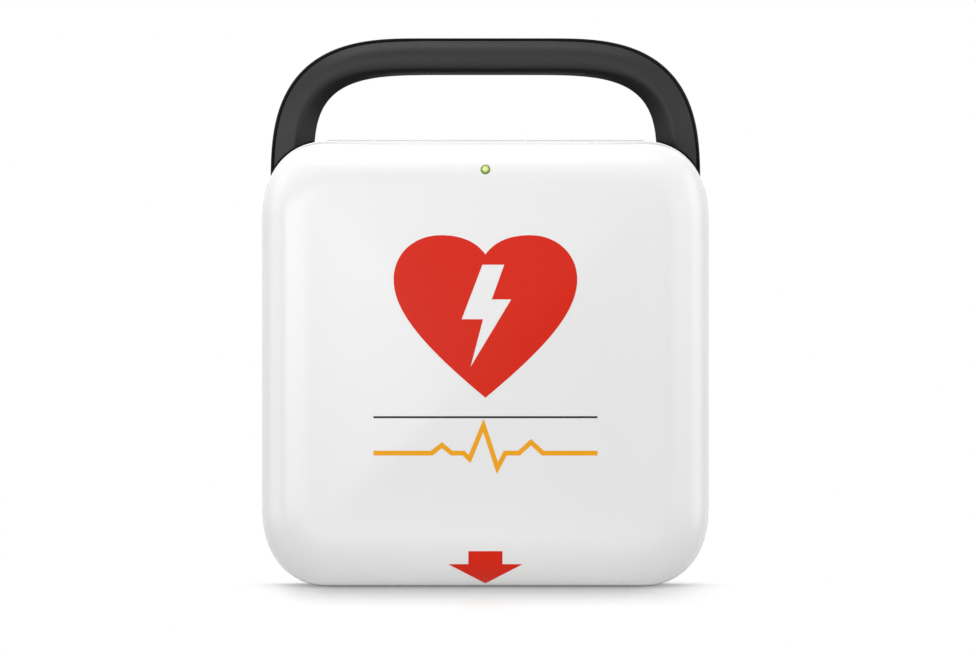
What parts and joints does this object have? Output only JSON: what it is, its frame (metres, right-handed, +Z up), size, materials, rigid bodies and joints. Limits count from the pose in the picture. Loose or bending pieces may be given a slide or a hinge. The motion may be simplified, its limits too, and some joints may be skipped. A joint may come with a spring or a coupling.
{
  "type": "automated external defibrillator",
  "caption": "Public automated external defibrillator: white domed lid over a control deck and electrode tray, black carry handle, and a battery that slides out at the back.",
  "frame": {"origin": "on the ground, under the middle of the case, where its box stands", "axes": "+Z up towards the handle, -Y out of the lid's front, +Y out of the back, +X to the right as one faces the lid"},
  "size_m": [0.226, 0.097, 0.2777],
  "materials": {
    "housing_plastic": "moulded charcoal plastic with a fine spark texture",
    "deck_plastic": "moulded pale grey plastic, satin",
    "seal_rubber": "soft black rubber",
    "screw_steel": "zinc plated steel screws",
    "handle_core_plastic": "glass filled plastic, hidden in the grip",
    "grip_rubber": "satin black soft touch rubber",
    "pin_steel": "bright steel",
    "lid_plastic": "glossy white plastic",
    "status_green": "clear green light",
    "magnet_metal": "nickel plated magnet",
    "shock_orange": "glossy orange button",
    "ring_plastic": "translucent ring",
    "child_blue": "blue button",
    "key_grey": "mid grey button",
    "board_green": "circuit board",
    "black_plastic": "black moulded plastic",
    "tray_plastic": "thin white tray",
    "pad_foam": "foam backed electrode pads",
    "clear_film": "clear peel-off film",
    "pull_red": "red pull handle",
    "capacitor_sleeve": "dark blue sleeve",
    "winding_copper": "copper winding",
    "ferrite": "dark ferrite",
    "spreader_metal": "extruded aluminium",
    "relay_plastic": "pale relay case",
    "shield_metal": "tinned shield can",
    "contact_brass": "gold plated spring contacts",
    "cell_sleeve": "sleeved lithium cells",
    "latch_plastic": "grey latch"
  },
  "bodies": {
    "case": {"rear_housing": "housing_plastic", "front_deck": "deck_plastic", "lid_seal": "seal_rubber", "housing_screws": "screw_steel", "handle_frame": "handle_core_plastic", "handle_grip": "grip_rubber", "handle_screws": "screw_steel", "hinge_pin": "pin_steel", "keeper_plates": "pin_steel", "shock_button_ring": "ring_plastic", "button_board": "board_green", "button_board_screws": "screw_steel", "button_switches": "black_plastic", "status_led": "status_green", "speaker_gasket": "seal_rubber", "speaker_frame": "pin_steel", "speaker_cone": "black_plastic", "electrode_tray": "tray_plastic", "electrode_pads": "pad_foam", "tray_film": "clear_film", "pull_handle": "pull_red", "electrode_socket": "black_plastic", "main_board": "board_green", "main_board_screws": "screw_steel", "energy_capacitor": "capacitor_sleeve", "capacitor_cradle": "black_plastic", "charging_transformer": "winding_copper", "transformer_core": "ferrite", "shock_switch_module": "black_plastic", "heat_spreader": "spreader_metal", "isolation_relay": "relay_plastic", "radio_module": "shield_metal", "battery_contacts": "contact_brass", "latch_spring": "pin_steel"},
    "lid": {"lid_shell": "lid_plastic", "lid_liner": "deck_plastic", "lid_screws": "screw_steel", "status_lens": "status_green", "lid_magnets": "magnet_metal", "lid_bumpers": "seal_rubber"},
    "shock_button": {"shock_button": "shock_orange"},
    "child_button": {"child_button": "child_blue"},
    "language_button": {"language_button": "key_grey"},
    "battery": {"battery_case": "housing_plastic", "battery_cover": "housing_plastic", "battery_cells": "cell_sleeve"},
    "battery_latch": {"battery_latch": "latch_plastic"}
  },
  "joints": [
    {"name": "lid_hinge", "type": "hinge", "parent": "case", "child": "lid", "pos_m": [0, -0.01825, 0.223], "axis": [-1, 0, 0], "range_deg": [0, 110]},
    {"name": "shock_press", "type": "slide", "parent": "case", "child": "shock_button", "axis": [0, 1, 0], "range_m": [0, 0.0015], "stiffness_N_per_m": 1500},
    {"name": "child_press", "type": "slide", "parent": "case", "child": "child_button", "axis": [0, 1, 0], "range_m": [0, 0.0015], "stiffness_N_per_m": 800},
    {"name": "language_press", "type": "slide", "parent": "case", "child": "language_button", "axis": [0, 1, 0], "range_m": [0, 0.0015], "stiffness_N_per_m": 800},
    {"name": "battery_slide", "type": "slide", "parent": "case", "child": "battery", "axis": [0, 1, 0], "range_m": [0, 0.045]},
    {"name": "latch_slide", "type": "slide", "parent": "case", "child": "battery_latch", "axis": [0, 0, 1], "range_m": [0, 0.004], "stiffness_N_per_m": 300, "springref_m": -0.002, "deforming": ["latch_spring"]}
  ]
}
